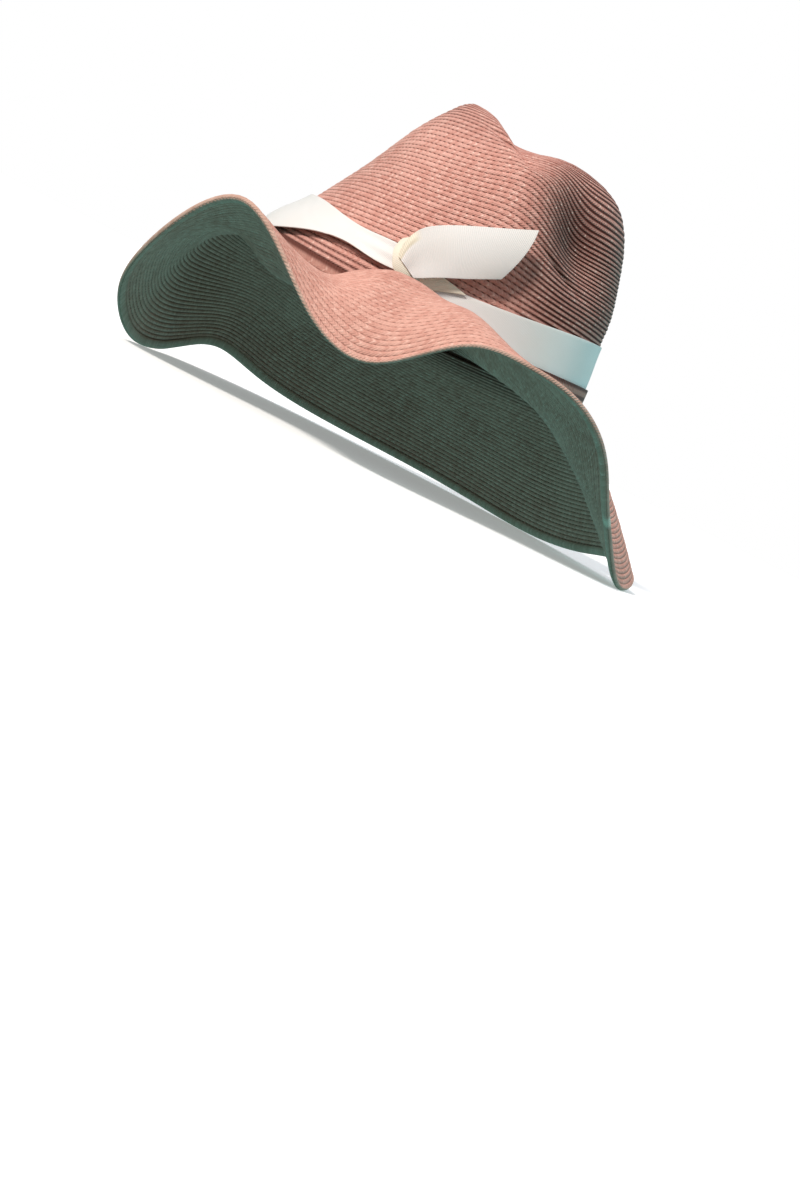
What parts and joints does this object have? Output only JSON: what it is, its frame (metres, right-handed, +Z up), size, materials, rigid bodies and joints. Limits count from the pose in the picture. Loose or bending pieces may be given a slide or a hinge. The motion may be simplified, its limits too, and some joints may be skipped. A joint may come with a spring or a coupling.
{
  "type": "floppy sun hat",
  "caption": "Floppy sun hat in sewn straw braid with a soft dented crown, a wide wavy brim and a knotted ribbon band with one loose tail.",
  "frame": {"origin": "centre of the hat's box on the surface that it stands on", "axes": "+Z up along the crown, -Y the front of the hat, +X the wearer's left, where the knot is"},
  "size_m": [0.3452, 0.319, 0.2036],
  "materials": {
    "straw_braid": "salmon pink sewn straw braid, matte with small glints",
    "straw_edge": "salmon pink straw braid, matte, a little paler with wear",
    "grosgrain": "ivory grosgrain ribbon, soft sheen across fine ribs"
  },
  "bodies": {
    "root": {"crown": "straw_braid", "brim": "straw_braid", "brim_edge": "straw_edge", "ribbon_band": "grosgrain", "ribbon_knot": "grosgrain", "ribbon_tail": "grosgrain"}
  },
  "joints": []
}
